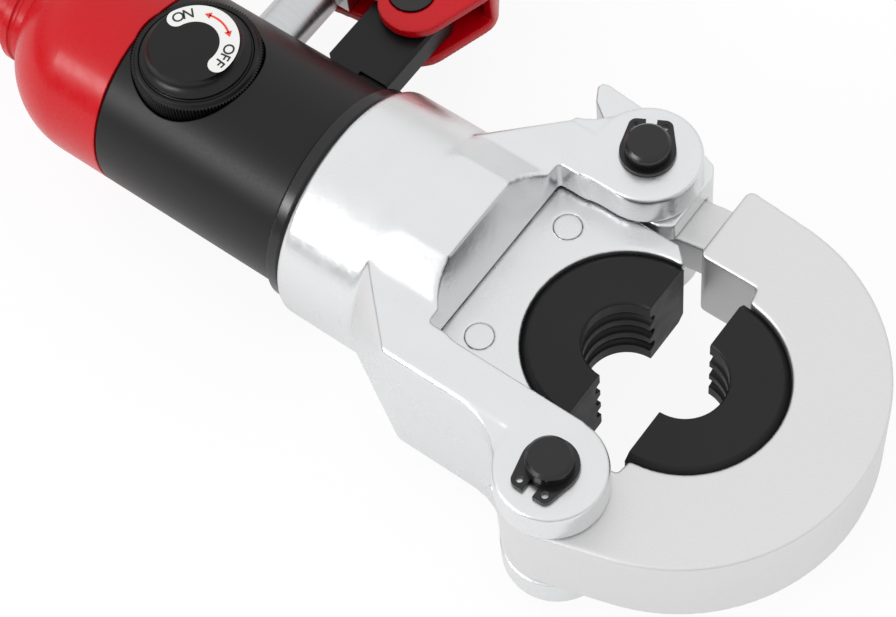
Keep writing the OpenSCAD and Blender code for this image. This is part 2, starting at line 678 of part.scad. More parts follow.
// Hinged C jaw with the die seat, the hinge knuckle and the tongue for the latch
module c_jaw() color("#c9cbcc") {
    arm = hinge - jaw_c;
    tangent = atan2(arm[1], arm[0]) + acos((jaw_r - knuckle_r) / norm(arm));
    corner_x = end_x + jaw_corner_r;
    corner = [corner_x, (jaw_r - jaw_corner_r - (corner_x - jaw_c[0]) * cos(top_tangent))
        / sin(top_tangent)];
    foot = [corner_x, flat_y + jaw_corner_r - 0.05];
    difference() {
        union() {
            intersection() {
                zcyl(jaw_c, jaw_r, -jaw_z, jaw_z);
                xbox(hinge[0], far, -far, far, far);
            }
            zcyl(hinge, knuckle_r, -jaw_z, jaw_z);
            plate(jaw_z) polygon([jaw_c, jaw_c + polar(jaw_r - eps, tangent),
                hinge + polar(knuckle_r - eps, tangent), hinge]);
            plate(jaw_z) polygon([jaw_c + polar(jaw_r, top_tangent),
                corner + polar(jaw_corner_r, top_tangent), [end_x, corner[1]], [end_x, foot[1]],
                foot, [foot[0], flat_y - 1], [jaw_r / 2, flat_y - 1], [jaw_r / 2, jaw_r / 2]]);
            zcyl(corner, jaw_corner_r, -jaw_z, jaw_z);
            zcyl(foot, jaw_corner_r, -jaw_z, jaw_z);
            // Tongue, bounded by arcs round the hinge pin
            difference() {
                intersection() {
                    zcyl(hinge, tongue_out, -tongue_z, tongue_z);
                    xbox(latch_c[0] + tongue_start, end_x + jaw_corner_r, 0, far, far);
                }
                zcyl(hinge, tongue_in, -far, far);
                zcyl(latch_c, hub_r + slot_gap, -far, far);
            }
        }
        // Opening between the arms and the die seat
        plate(far) polygon([[-far, -flat_y], [1.4, -flat_y], [1.9, -seat_r - 0.3],
            [4.5, -seat_r + 0.5], [4.5, seat_r - 0.5], [1.9, seat_r + 0.3], [1.4, flat_y],
            [-far, flat_y]]);
        die_seat(0, jaw_z);
        zcyl(hinge, pin_r + slide_gap, -far, far);
        // Relief of the knuckle, which passes the advanced holder as the jaw opens
        difference() {
            intersection() {
                zcyl(hinge, knuckle_r + 1, -far, far);
                plate(far) translate(hinge) polygon([[0, 0], polar(far, 88),
                    polar(2 * far, 140), polar(far, 90 + jaw_swing)]);
            }
            zcyl(hinge, relief_r, -far, far);
        }
        translate(hinge) rotate([0, 0, 90 + jaw_swing]) translate([relief_r - 0.05, -3, -far])
            cube([far, far, 2 * far]);
        translate([seat_r - 1, 0, 0]) rotate([0, 90, 0]) cylinder(r = peg_r + fit, h = peg_depth + 1);
    }
}

// Chromed pump plunger with a flat head slotted for the link pin
module pump_plunger() color("#c8cacc") difference() {
    union() {
        ycyl(plunger_x, 0, plunger_r, plunger_in, link_side - flat_foot);
        xbox(plunger_x - flat_w, plunger_x + flat_w, link_side - flat_foot - 1, link_side, eye_z);
        xbox(plunger_x - eye_w, plunger_x + eye_w, link_side - eye_foot, link_side + 4, eye_z);
        zcyl(link, link_r + 5, -eye_z, eye_z);
    }
    plate(far) translate(link) {
        circle(r = link_r + 0.1);
        translate([-eye_slot, 0]) circle(r = link_r + 0.1);
        translate([-eye_slot, -link_r - 0.1]) square([eye_slot, 2 * link_r + 0.2]);
    }
}

module plunger_link_pin() color("#a9acaf") zcyl(link, link_r, -yoke_z - 1, yoke_z + 1);
module lever_pivot_pin() color("#1b1b1d") zcyl(pivot, pivot_r, -yoke_z - 0.5, yoke_z + 0.5);

// Outline of the yoke cheeks
module cheek() {
    hull() {
        translate(yoke_eye + [0, 4]) circle(r = bridge_r, $fn = 64);
        translate(link) circle(r = link_eye_r, $fn = 64);
        translate(link_foot) circle(r = link_foot_r, $fn = 64);
    }
    hull() {
        translate(yoke_eye) circle(r = yoke_eye_r, $fn = 64);
        translate(heel) circle(r = heel_r, $fn = 64);
        translate(root_c) circle(r = socket_r - 2, $fn = 64);
    }
}
// Pressed red yoke: two cheeks, the web at the front and the socket for the lever tube
module lever_yoke() color("#d5161e") difference() {
    union() {
        for (side = [-1, 1]) translate([0, 0, side * (yoke_z - yoke_t / 2) - yoke_t / 2])
            linear_extrude(yoke_t) cheek();
        intersection() {
            plate(yoke_z - 1) difference() {
                hull() {
                    translate(heel) circle(r = heel_r, $fn = 64);
                    translate(root_c) circle(r = socket_r - 2, $fn = 64);
                }
                hull() {
                    translate(heel) circle(r = heel_r - yoke_t, $fn = 64);
                    translate(root_c) circle(r = socket_r - 2 - yoke_t, $fn = 64);
                    translate(pivot) circle(r = yoke_eye_r, $fn = 64);
                }
            }
            translate([root_c[0], heel[1], -far]) cube([far, far, 2 * far]);
        }
        translate([root_c[0], root_c[1], 0]) rotate([0, 90, lever_dir])
            cylinder(r = socket_r, h = socket_len);
    }
    zcyl(pivot, pivot_r + fit, -far, far);
    zcyl(link, link_r + fit, -far, far);
    translate([root_c[0], root_c[1], 0]) rotate([0, 90, lever_dir]) translate([0, 0, socket_seat])
        cylinder(r = lever_r + fit, h = far);
}

module lever_tube() color("#d5161e")
    translate([root_c[0], root_c[1], 0]) rotate([0, 90, lever_dir]) difference() {
        translate([0, 0, socket_seat + fit]) cylinder(r = lever_r, h = lever_len);
        translate([0, 0, socket_seat]) cylinder(r = lever_r - tube_wall, h = lever_len + 1);
    }
module lever_grip() color("#18181a")
    translate([root_c[0], root_c[1], 0]) rotate([0, 90, lever_dir])
        translate([0, 0, socket_seat + lever_len + 4.3 - grip_len]) mirror([0, 0, 1])
            grip_sleeve(lever_r);

pump_body();
body_end_ring();
ram_gland();
swivel_ring();
reservoir_housing();
reservoir_bladder();
handle_tube();
handle_grip();
pivot_bracket();
plunger_seal();
suction_ball();
delivery_ball();
release_ball();
release_stem();
release_knob();
head_fork();
hinge_pin();
hinge_circlip_top();
hinge_circlip_bottom();
latch_pin();
latch_circlip_top();
latch_circlip_bottom();
latch_spring();
latch();
ram_piston();
piston_seal();
ram_spring();
die_holder();
holder_dowel_left();
holder_dowel_right();
moving_die();
moving_die_peg();
c_jaw();
fixed_die();
fixed_die_peg();
pump_plunger();
plunger_link_pin();
lever_yoke();
lever_pivot_pin();
lever_tube();
lever_grip();
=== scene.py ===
"""Finish and studio of a hydraulic crimping tool with a hinged C jaw and a fork head."""

import math

import bpy
from bpy.props import FloatProperty, FloatVectorProperty, IntProperty, PointerProperty
from mathutils import Matrix, Vector


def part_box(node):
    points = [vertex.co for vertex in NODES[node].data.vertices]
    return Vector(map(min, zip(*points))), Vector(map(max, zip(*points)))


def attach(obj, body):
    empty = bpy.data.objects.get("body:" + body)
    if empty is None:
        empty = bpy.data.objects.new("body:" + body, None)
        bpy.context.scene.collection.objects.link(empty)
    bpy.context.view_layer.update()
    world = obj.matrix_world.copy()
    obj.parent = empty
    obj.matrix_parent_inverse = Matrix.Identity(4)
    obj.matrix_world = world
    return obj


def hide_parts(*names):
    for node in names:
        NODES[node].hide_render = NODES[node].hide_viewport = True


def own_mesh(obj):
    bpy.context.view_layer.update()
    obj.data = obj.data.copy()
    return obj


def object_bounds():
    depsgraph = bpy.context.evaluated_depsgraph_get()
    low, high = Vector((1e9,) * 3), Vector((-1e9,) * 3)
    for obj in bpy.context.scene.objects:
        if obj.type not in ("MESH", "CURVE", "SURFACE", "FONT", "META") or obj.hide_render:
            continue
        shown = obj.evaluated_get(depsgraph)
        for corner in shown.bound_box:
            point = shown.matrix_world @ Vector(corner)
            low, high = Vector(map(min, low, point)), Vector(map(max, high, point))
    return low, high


bl_info = {
    "name": "Hydraulic Crimping Tool",
    "version": (1, 0, 0),
    "blender": (4, 5, 0),
    "location": "View3D > Sidebar > Crimping Tool",
    "description": "Dresses the crimping tool in metal, paint and rubber, and prints its knob",
    "category": "Object",
}

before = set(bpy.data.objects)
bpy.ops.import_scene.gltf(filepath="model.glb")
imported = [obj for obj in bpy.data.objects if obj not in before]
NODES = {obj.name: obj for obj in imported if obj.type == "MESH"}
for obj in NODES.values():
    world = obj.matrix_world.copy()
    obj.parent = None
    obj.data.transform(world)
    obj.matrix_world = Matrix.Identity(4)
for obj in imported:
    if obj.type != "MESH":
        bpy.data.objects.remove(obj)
CAD_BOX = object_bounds()
MM = 0.001

# Vertices of a CAD mesh this close together, in metres, are one
MERGE = 1e-6

# Where the label, its letters and its arrow lie round the knob, in degrees from +X
LABEL_FIRST = -9.0
LABEL_LAST = 157.0
WORD_ON = (("O", 154.0), ("N", 137.5))
WORD_OFF = (("O", 22.5), ("F", 7.5), ("F", -5.5))
ARROW_FIRST = 50.0
ARROW_LAST = 107.0
# The arrow's line stops short of its ends, under the heads
LINE_INSET = 4.0
HEAD_INSET = 3.0
# Length of an arrow head whose corners lie on a circle of radius 1
TIP_LENGTH = 1.6
# Heights above the knob's face, as shares of the label's own
CAP_LIFT = 1.2
PRINT_LIFT = 1.6
# Font size for a capital letter of height 1, and the letters' swell and thickness in metres
FONT_SIZE = 1.42
LETTER_SWELL = 0.00006
LETTER_DEPTH = 0.00002

# The floor lies this far under the tool, in metres
FLOOR_GAP = 0.0002
# Shares of plain white in the floor, seen directly and seen in gloss
WHITE_SHARE = 0.9
GLOSS_SHARE = 0.35
# Brightness of the world, and of its low band on the camera's side and on the far side
WORLD_STRENGTH = 1.0
HORIZON_NEAR = 0.12
HORIZON_FAR = 0.75
# Heights between which the low band fades into the sky
BAND_LOW = 0.12
BAND_HIGH = 0.42
# Name, place, aim, width, height and power of each lamp
LAMPS = (
    ("key_softbox", (-0.61, -1.2, 0.70), (-0.1, 0, 0), 0.9, 0.3, 8),
)

# Camera fitted to the photograph, in degrees, metres and millimetres of focal length
CAMERA_AZIMUTH = 44.44
CAMERA_ELEVATION = 60.88
CAMERA_ROLL = -8.92
CAMERA_TARGET = (-0.07716, -0.01413, 0)
CAMERA_DISTANCE = 0.74685
CAMERA_LENS = 98.18
SENSOR_WIDTH = 36


def middle(node):
    """Centre of a CAD node's box, in metres."""
    low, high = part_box(node)
    return (Vector(low) + Vector(high)) / 2


def top(node):
    """Height of a CAD node's highest corner, in metres."""
    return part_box(node)[1][2]


def linear(code):
    """Linear colour, with alpha, of an sRGB hex code such as #C8C9CA."""
    parts = [int(code[i:i + 2], 16) / 255 for i in (1, 3, 5)]
    return tuple(p / 12.92 if p <= 0.04045 else ((p + 0.055) / 1.055) ** 2.4
                 for p in parts) + (1.0,)


# Properties

def colour(name, description, code):
    """A colour property whose default is a hex code."""
    return FloatVectorProperty(name=name, description=description, default=linear(code),
                               size=4, min=0, max=1, subtype="COLOR")


def length(name, description, millimetres):
    """A length property whose default is given in millimetres."""
    return FloatProperty(name=name, description=description, default=millimetres * MM,
                         min=0, precision=5, subtype="DISTANCE", unit="LENGTH")


class CrimperColours(bpy.types.PropertyGroup):
    """Colours of the tool and its studio."""
    plate: colour("Plated casting", "Satin plate on the fork head and the latch", "#E6E7E8")
    jaw: colour("Blasted jaw", "Shot blasted plate on the C jaw", "#E4E4E4")
    black: colour("Black coating", "Matt black coating of the pump body", "#0E0E10")
    gloss: colour("Gloss black", "Gloss black ring and pins", "#0C0C0D")
    red: colour("Red paint", "Gloss red paint of the housing and the lever", "#C00010")
    die: colour("Black oxide", "Blackened steel of the dies", "#141415")
    rubber: colour("Rubber", "Handle grips", "#161617")
    label: colour("Label", "White print on the knob's face", "#E9E9E8")
    arrow: colour("Arrow", "Red double arrow on the label", "#E8402F")
    floor: colour("Floor", "Pale studio floor", "#F7F7F7")


class CrimperSizes(bpy.types.PropertyGroup):
    """Sizes of the label, the lettering and the studio."""
    label_in: length("Label inside", "Inner radius of the label", 8.2)
    label_out: length("Label outside", "Outer radius of the label", 14.4)
    label_height: length("Label height", "Height of the print above the knob", 0.06)
    letter: length("Letter height", "Height of the letters on the label", 3.5)
    arrow_width: length("Arrow width", "Width of the arrow's line", 0.7)
    arrow_head: length("Arrow head", "Length of the arrow's heads", 2.3)
    floor_size: length("Floor size", "Width of the floor", 20000)
    arc_steps: IntProperty(name="Arc steps", description="Faces along the label's arc",
                           default=48, min=8, max=200)


def colours():
    return bpy.context.scene.crimper_colours


def sizes():
    return bpy.context.scene.crimper_sizes


# Materials

def add(tree, kind, values=None, links=None, **settings):
    """Adds one node, sets its fields and input values, and links its inputs to other outputs."""
    n = tree.nodes.new(kind)
    for key, value in settings.items():
        setattr(n, key, value)
    for key, value in (values or {}).items():
        n.inputs[key].default_value = value
    for key, source in (links or {}).items():
        tree.links.new(source, n.inputs[key])
    return n


def start(name):
    """A new material with its shader, its output and its object coordinates."""
    material = bpy.data.materials.new(name)
    material.use_nodes = True
    tree = material.node_tree
    tree.nodes.clear()
    shader = add(tree, "ShaderNodeBsdfPrincipled")
    add(tree, "ShaderNodeOutputMaterial", links={"Surface": shader.outputs["BSDF"]})
    place = add(tree, "ShaderNodeTexCoord").outputs["Object"]
    return material, tree, shader, place


def grain(tree, place, size_mm, detail=4.0, rough=0.6, distortion=0.0):
    """Noise whose grains are about size_mm across."""
    return add(tree, "ShaderNodeTexNoise",
               values={"Scale": 1 / (size_mm * MM), "Detail": detail, "Roughness": rough,
                       "Distortion": distortion}, links={"Vector": place}).outputs["Fac"]


def spread(tree, source, low, high, from_low=0.3, from_high=0.7):
    """Maps a noise value to the range from low to high."""
    return add(tree, "ShaderNodeMapRange",
               values={"From Min": from_low, "From Max": from_high, "To Min": low, "To Max": high},
               links={"Value": source}).outputs["Result"]


def bump(tree, shader, layers, edge_mm=0.0):
    """Stacks bumps, each (height source, depth in millimetres), on a softly rounded edge."""
    normal = None
    if edge_mm:
        normal = add(tree, "ShaderNodeBevel", values={"Radius": edge_mm * MM},
                     samples=6).outputs["Normal"]
    for source, depth in layers:
        links = {"Height": source}
        if normal:
            links["Normal"] = normal
        normal = add(tree, "ShaderNodeBump", values={"Strength": 1.0, "Distance": depth * MM},
                     links=links).outputs["Normal"]
    tree.links.new(normal, shader.inputs["Normal"])


def mix_colours(tree, factor, first, second):
    """Blend of two linear colours by a factor."""
    n = add(tree, "ShaderNodeMix", data_type="RGBA")
    tree.links.new(factor, n.inputs["Factor"])
    n.inputs["A"].default_value = first
    n.inputs["B"].default_value = second
    return n.outputs["Result"]


def shade(tone, factor):
    """A colour made lighter or darker by a factor."""
    return tuple(min(1.0, c * factor) for c in tone[:3]) + (1.0,)


def satin_plate():
    """Satin nickel plate on a tumbled casting: soft reflections over a faint orange peel."""
    material, tree, shader, place = start("satin_nickel_plate")
    tone = tuple(colours().plate)
    cloud = grain(tree, place, 14, detail=3)
    peel = grain(tree, place, 1.6, detail=3)
    pits = grain(tree, place, 0.45, detail=2)
    tree.links.new(mix_colours(tree, cloud, shade(tone, 0.94), shade(tone, 1.0)),
                   shader.inputs["Base Color"])
    tree.links.new(spread(tree, cloud, 0.25, 0.34), shader.inputs["Roughness"])
    shader.inputs["Metallic"].default_value = 1.0
    bump(tree, shader, [(cloud, 0.22), (peel, 0.03), (pits, 0.008)], edge_mm=0.9)
    return material


def blasted_plate():
    """Shot blasted plate: an even, fine speckle that scatters the light."""
    material, tree, shader, place = start("shot_blasted_plate")
    tone = tuple(colours().jaw)
    cloud = grain(tree, place, 22, detail=3)
    # Blasting marks are about 0.3 mm, drawn at 0.7 mm so that they show
    shot = grain(tree, place, 0.7, detail=3, rough=0.7)
    tree.links.new(mix_colours(tree, shot, shade(tone, 0.88), shade(tone, 1.0)),
                   shader.inputs["Base Color"])
    tree.links.new(spread(tree, cloud, 0.34, 0.44), shader.inputs["Roughness"])
    shader.inputs["Metallic"].default_value = 1.0
    bump(tree, shader, [(cloud, 0.12), (shot, 0.02)], edge_mm=1.0)
    return material


def black_coating():
    """Matt black coating baked on steel: a broad soft sheen and a fine sandy texture."""
    material, tree, shader, place = start("matt_black_coating")
    tone = tuple(colours().black)
    sand = grain(tree, place, 0.5, detail=2)
    cloud = grain(tree, place, 30, detail=2)
    tree.links.new(mix_colours(tree, cloud, shade(tone, 0.85), shade(tone, 1.15)),
                   shader.inputs["Base Color"])
    tree.links.new(spread(tree, sand, 0.34, 0.42), shader.inputs["Roughness"])
    shader.inputs["Specular IOR Level"].default_value = 0.3
    bump(tree, shader, [(sand, 0.004)], edge_mm=0.5)
    return material


def gloss_black():
    """Gloss black oxide over polished steel: dark, with sharp highlights on its edges."""
    material, tree, shader, place = start("gloss_black_oxide")
    tone = tuple(colours().gloss)
    film = grain(tree, place, 6, detail=3)
    tree.links.new(mix_colours(tree, film, shade(tone, 0.8), shade(tone, 1.4)),
                   shader.inputs["Base Color"])
    tree.links.new(spread(tree, film, 0.20, 0.30), shader.inputs["Roughness"])
    bump(tree, shader, [(film, 0.01)], edge_mm=0.5)
    return material


def red_paint():
    """Gloss red enamel on steel: a saturated coat under a clear, slightly wavy gloss."""
    material, tree, shader, place = start("gloss_red_enamel")
    tone = tuple(colours().red)
    wave = grain(tree, place, 3.5, detail=2)
    depth = grain(tree, place, 40, detail=2)
    tree.links.new(mix_colours(tree, depth, shade(tone, 0.92), shade(tone, 1.04)),
                   shader.inputs["Base Color"])
    tree.links.new(spread(tree, wave, 0.24, 0.32), shader.inputs["Roughness"])
    shader.inputs["Specular IOR Level"].default_value = 0.3
    shader.inputs["Coat Weight"].default_value = 0.08
    shader.inputs["Coat Roughness"].default_value = 0.12
    bump(tree, shader, [(wave, 0.008)], edge_mm=0.8)
    return material


def die_steel():
    """Black oxide on ground tool steel: charcoal with faint cutter marks."""
    material, tree, shader, place = start("black_oxide_tool_steel")
    tone = tuple(colours().die)
    cloud = grain(tree, place, 9, detail=4)
    cut = grain(tree, place, 0.6, detail=2)
    tree.links.new(mix_colours(tree, cloud, shade(tone, 0.85), shade(tone, 1.35)),
                   shader.inputs["Base Color"])
    tree.links.new(spread(tree, cloud, 0.36, 0.48), shader.inputs["Roughness"])
    shader.inputs["Specular IOR Level"].default_value = 0.3
    bump(tree, shader, [(cut, 0.004)], edge_mm=0.5)
    return material


def ground_steel():
    """Ground and lightly oiled steel: grey metal with fine scratches."""
    material, tree, shader, place = start("ground_steel")
    lines = grain(tree, place, 0.8, detail=5, rough=0.7)
    tree.links.new(mix_colours(tree, lines, linear("#9A9C9F"), linear("#C3C5C7")),
                   shader.inputs["Base Color"])
    tree.links.new(spread(tree, lines, 0.22, 0.36), shader.inputs["Roughness"])
    shader.inputs["Metallic"].default_value = 1.0
    bump(tree, shader, [(lines, 0.004)], edge_mm=0.4)
    return material


def hard_chrome():
    """Hard chrome on the ground plunger: bright, with faint rings left by grinding."""
    material, tree, shader, place = start("hard_chrome")
    # Grinding rings run round the plunger, so the noise is squeezed along its length
    rings = add(tree, "ShaderNodeMapping", values={"Scale": (0.15, 9.0, 0.15)},
                links={"Vector": place}).outputs["Vector"]
    rubbed = grain(tree, rings, 3, detail=4)
    tree.links.new(mix_colours(tree, rubbed, linear("#B4B6B8"), linear("#DDDEDF")),
                   shader.inputs["Base Color"])
    tree.links.new(spread(tree, rubbed, 0.26, 0.36), shader.inputs["Roughness"])
    shader.inputs["Metallic"].default_value = 1.0
    bump(tree, shader, [(rubbed, 0.002)], edge_mm=0.4)
    return material


def knob_plastic():
    """Moulded black nylon: an even satin all over, with a faint skin."""
    material, tree, shader, place = start("moulded_black_nylon")
    skin = grain(tree, place, 0.4, detail=2)
    cloud = grain(tree, place, 8, detail=2)
    tree.links.new(mix_colours(tree, cloud, linear("#09090A"), linear("#101011")),
                   shader.inputs["Base Color"])
    tree.links.new(spread(tree, cloud, 0.26, 0.36), shader.inputs["Roughness"])
    shader.inputs["Specular IOR Level"].default_value = 0.3
    bump(tree, shader, [(skin, 0.003)], edge_mm=0.35)
    return material


def grip_rubber():
    """Dipped rubber grip: dull black with a pebbled skin."""
    material, tree, shader, place = start("pebbled_rubber")
    tone = tuple(colours().rubber)
    cells = add(tree, "ShaderNodeTexVoronoi", values={"Scale": 1 / (1.4 * MM)},
                links={"Vector": place}).outputs["Distance"]
    dust = grain(tree, place, 12, detail=3)
    tree.links.new(mix_colours(tree, dust, shade(tone, 0.8), shade(tone, 1.5)),
                   shader.inputs["Base Color"])
    tree.links.new(spread(tree, dust, 0.6, 0.75), shader.inputs["Roughness"])
    bump(tree, shader, [(cells, 0.05)], edge_mm=0.6)
    return material


def spring_wire():
    """Oil-tempered spring wire: mid grey with drawn streaks."""
    material, tree, shader, place = start("tempered_spring_wire")
    streak = grain(tree, place, 0.9, detail=3)
    tree.links.new(mix_colours(tree, streak, linear("#5C5D5F"), linear("#8B8D90")),
                   shader.inputs["Base Color"])
    tree.links.new(spread(tree, streak, 0.28, 0.42), shader.inputs["Roughness"])
    shader.inputs["Metallic"].default_value = 1.0
    bump(tree, shader, [(streak, 0.003)])
    return material


def seal_rubber():
    """Nitrile rubber of the seals and the oil bag: smooth, dark and faintly waxy."""
    material, tree, shader, place = start("nitrile_rubber")
    bloom = grain(tree, place, 5, detail=3)
    tree.links.new(mix_colours(tree, bloom, linear("#1A1A1A"), linear("#2C2B2A")),
                   shader.inputs["Base Color"])
    tree.links.new(spread(tree, bloom, 0.45, 0.6), shader.inputs["Roughness"])
    bump(tree, shader, [(bloom, 0.01)])
    return material


def printed_ink(name, tone):
    """Screen-printed ink: a thin even film with a little tooth."""
    material, tree, shader, place = start(name)
    tooth = grain(tree, place, 0.5, detail=2)
    tree.links.new(mix_colours(tree, tooth, shade(tone, 0.94), shade(tone, 1.0)),
                   shader.inputs["Base Color"])
    tree.links.new(spread(tree, tooth, 0.4, 0.5), shader.inputs["Roughness"])
    bump(tree, shader, [(tooth, 0.002)])
    return material


# Modelling helpers

def to_object_mode():
    if bpy.context.object and bpy.context.object.mode != "OBJECT":
        bpy.ops.object.mode_set(mode="OBJECT")


def only_nothing():
    to_object_mode()
    bpy.ops.object.select_all(action="DESELECT")


def only(obj):
    """Selects one object and makes it active."""
    only_nothing()
    obj.select_set(True)
    bpy.context.view_layer.objects.active = obj


def dress(material, *names):
    """Gives CAD nodes a material."""
    for name in names:
        mesh = NODES[name].data
        mesh.materials.clear()
        mesh.materials.append(material)


def seat(obj, name, material, body):
    """Names a finished piece, sets it at the origin and puts it on its body."""
    only(obj)
    bpy.ops.object.transform_apply(location=True, rotation=True, scale=True)
    obj.name = name
    obj.data.name = name
    obj.data.materials.clear()
    obj.data.materials.append(material)
    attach(obj, body)
    return obj


def node_copy(node, name):
    """A free copy of a CAD node, with its split vertices merged."""
    obj = bpy.data.objects.new(name, NODES[node].data.copy())
    bpy.context.scene.collection.objects.link(obj)
    only(obj)
    bpy.ops.object.mode_set(mode="EDIT")
    bpy.ops.mesh.select_all(action="SELECT")
    bpy.ops.mesh.remove_doubles(threshold=MERGE)
    bpy.ops.object.mode_set(mode="OBJECT")
    return obj


def casting(node, name, material, body, voxel, passes, faces):
    """A copy of a CAD casting with its edges and hollows softened, as a mould leaves them.

    The voxel is in millimetres, and faces is the most triangles that the copy keeps.
    """
    obj = node_copy(node, name)
    shell = obj.modifiers.new("shell", "REMESH")
    shell.mode = "VOXEL"
    shell.voxel_size = voxel * MM
    shell.use_smooth_shade = True
    bpy.ops.object.modifier_apply(modifier=shell.name)
    soft = obj.modifiers.new("soft", "SMOOTH")
    soft.factor = 0.5
    soft.iterations = passes
    bpy.ops.object.modifier_apply(modifier=soft.name)
    thin = obj.modifiers.new("thin", "DECIMATE")
    thin.ratio = min(1.0, faces / (2 * len(obj.data.polygons)))
    bpy.ops.object.modifier_apply(modifier=thin.name)
    bpy.ops.object.shade_smooth()
    seat(obj, name, material, body)
    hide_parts(node)
    return obj


def knob_centre():
    """The middle of the knob's flat face."""
    centre = middle("release_knob")
    return Vector((centre.x, centre.y, top("release_knob")))


def on_label(along, angle, height):
    """A point over the knob's face, from its distance off the axis and its angle in degrees."""
    turn = math.radians(angle)
    return knob_centre() + Vector((along * math.cos(turn), along * math.sin(turn), height))


def arc_band(inner, outer, first, last, height):
    """A flat band along an arc round the knob's axis, spun from one radial edge, in degrees."""
    centre = knob_centre()
    only_nothing()
    bpy.ops.mesh.primitive_plane_add(size=1, location=(0, 0, 0))
    band = bpy.context.object
    bpy.ops.object.mode_set(mode="EDIT")
    bpy.ops.mesh.select_all(action="SELECT")
    bpy.ops.transform.resize(value=(outer - inner, 0, 1))
    bpy.ops.mesh.remove_doubles(threshold=1e-7)
    bpy.ops.mesh.delete(type="ONLY_FACE")
    bpy.ops.mesh.select_all(action="SELECT")
    bpy.ops.transform.translate(value=((inner + outer) / 2, 0, 0))
    bpy.ops.mesh.spin(steps=sizes().arc_steps, angle=math.radians(first - last),
                      center=(0, 0, 0), axis=(0, 0, 1))
    bpy.ops.mesh.select_all(action="SELECT")
    bpy.ops.mesh.remove_doubles(threshold=1e-7)
    bpy.ops.mesh.normals_make_consistent(inside=False)
    bpy.ops.object.mode_set(mode="OBJECT")
    band.rotation_euler = (0, 0, math.radians(first))
    band.location = centre + Vector((0, 0, height))
    only(band)
    bpy.ops.object.transform_apply(location=True, rotation=True, scale=True)
    return band


def disc(radius, angle, along, height, corners=48):
    """A flat spot on the knob's face, round or with a few corners."""
    only_nothing()
    bpy.ops.mesh.primitive_circle_add(vertices=corners, radius=radius, fill_type="NGON",
                                      location=on_label(along, angle, height))
    return bpy.context.object


def arrow_tip(angle, along, height, turn):
    """A head of the arrow, which points along the arc, one way or the other."""
    head = disc(sizes().arrow_head / TIP_LENGTH, angle, along, height, corners=3)
    # A three-sided disc points along Y, and the arc runs along its tangent
    head.rotation_euler = (0, 0, math.radians(angle + (0 if turn > 0 else 180)))
    only(head)
    bpy.ops.object.transform_apply(location=True, rotation=True, scale=True)
    return head


def join(pieces):
    """Joins pieces into the first one."""
    only(pieces[0])
    for piece in pieces[1:]:
        piece.select_set(True)
    bpy.ops.object.join()
    return pieces[0]


def letter(text, angle, height):
    """One letter on the label, its top turned outwards."""
    along = (sizes().label_in + sizes().label_out) / 2
    only_nothing()
    bpy.ops.object.text_add()
    obj = bpy.context.object
    obj.data.body = text
    obj.data.align_x = "CENTER"
    obj.data.align_y = "CENTER"
    obj.data.size = sizes().letter * FONT_SIZE
    obj.data.offset = LETTER_SWELL
    obj.data.extrude = LETTER_DEPTH
    only(obj)
    bpy.ops.object.convert(target="MESH")
    obj = bpy.context.object
    obj.rotation_euler = (0, 0, math.radians(angle - 90))
    obj.location = on_label(along, angle, height)
    only(obj)
    bpy.ops.object.transform_apply(location=True, rotation=True, scale=True)
    return obj


# Operators

class CRIMPER_OT_head(bpy.types.Operator):
    """Finish the fork head, the jaw, the latch and the die holder in plated steel"""
    bl_idname = "crimper.head"
    bl_label = "Head"

    def execute(self, context):
        plate = satin_plate()
        dress(plate, "head_fork", "latch", "die_holder")
        blasted = blasted_plate()
        dress(blasted, "c_jaw")
        casting("head_fork", "fork_casting", plate, "head",
                voxel=0.6, passes=10, faces=180000)
        casting("c_jaw", "jaw_casting", blasted, "jaw",
                voxel=0.55, passes=12, faces=140000)
        casting("latch", "latch_casting", plate, "latch",
                voxel=0.4, passes=12, faces=60000)
        casting("die_holder", "holder_casting", plate, "ram",
                voxel=0.5, passes=4, faces=80000)
        return {"FINISHED"}


class CRIMPER_OT_dies(bpy.types.Operator):
    """Finish the half dies, their pegs and the dowels"""
    bl_idname = "crimper.dies"
    bl_label = "Dies"

    def execute(self, context):
        dress(die_steel(), "moving_die", "fixed_die")
        dress(ground_steel(), "moving_die_peg", "fixed_die_peg")
        plate = satin_plate()
        dress(plate, "holder_dowel_left", "holder_dowel_right")
        return {"FINISHED"}


class CRIMPER_OT_pins(bpy.types.Operator):
    """Finish the pins and circlips in gloss black and the springs in wire"""
    bl_idname = "crimper.pins"
    bl_label = "Pins and springs"

    def execute(self, context):
        dress(gloss_black(), "hinge_pin", "latch_pin", "hinge_circlip_top",
              "hinge_circlip_bottom", "latch_circlip_top", "latch_circlip_bottom",
              "lever_pivot_pin", "body_end_ring")
        wire = spring_wire()
        dress(wire, "latch_spring", "ram_spring", "swivel_ring")
        self.return_spring(wire)
        return {"FINISHED"}

    def return_spring(self, wire):
        """The ram's return spring, one smooth copy fixed on the head; in the tool it shortens
        against the gland as the ram moves out.
        """
        coil = node_copy("ram_spring", "return_spring")
        bpy.ops.object.shade_smooth()
        seat(coil, "return_spring", wire, "head")
        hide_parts("ram_spring")
        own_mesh(coil)


class CRIMPER_OT_pump(bpy.types.Operator):
    """Finish the pump body, its bracket, the plunger and the valve parts"""
    bl_idname = "crimper.pump"
    bl_label = "Pump"

    def execute(self, context):
        dress(black_coating(), "pump_body", "pivot_bracket")
        dress(hard_chrome(), "pump_plunger")
        dress(ground_steel(), "ram_piston", "ram_gland", "release_stem", "suction_ball",
              "delivery_ball", "release_ball", "plunger_link_pin")
        dress(seal_rubber(), "plunger_seal", "piston_seal", "reservoir_bladder")
        return {"FINISHED"}


